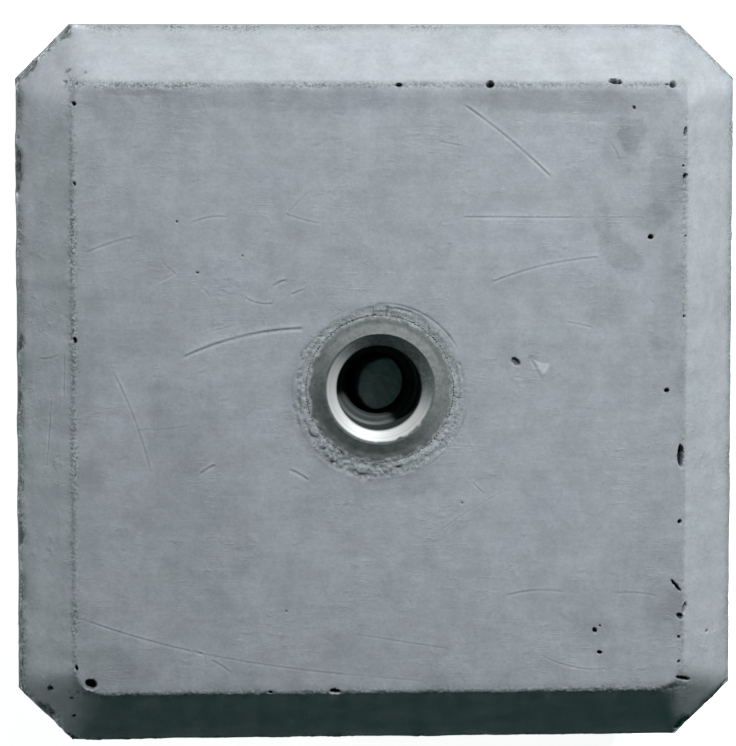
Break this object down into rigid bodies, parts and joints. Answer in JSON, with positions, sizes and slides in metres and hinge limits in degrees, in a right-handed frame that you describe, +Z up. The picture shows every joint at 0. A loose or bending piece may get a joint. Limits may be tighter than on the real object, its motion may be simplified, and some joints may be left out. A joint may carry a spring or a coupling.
{
  "type": "concrete column base block",
  "caption": "Square precast concrete base block with bevelled top edges, cut-off corners and a cast-in threaded steel socket in the middle of its top.",
  "frame": {"origin": "middle of the underside", "axes": "+Z up through the socket, +X and +Y square to the upright faces; +Y is the side towards the top of the plan view"},
  "size_m": [0.2, 0.2, 0.15],
  "materials": {
    "concrete": "mould-smooth grey cast concrete, pitted, scuffed and stained, sandy along its inner edges",
    "socket_steel": "turned steel, bright in the countersink, filmed with cement on the collar, dark inside"
  },
  "bodies": {
    "root": {"concrete_block": "concrete", "steel_socket": "socket_steel"}
  },
  "joints": []
}
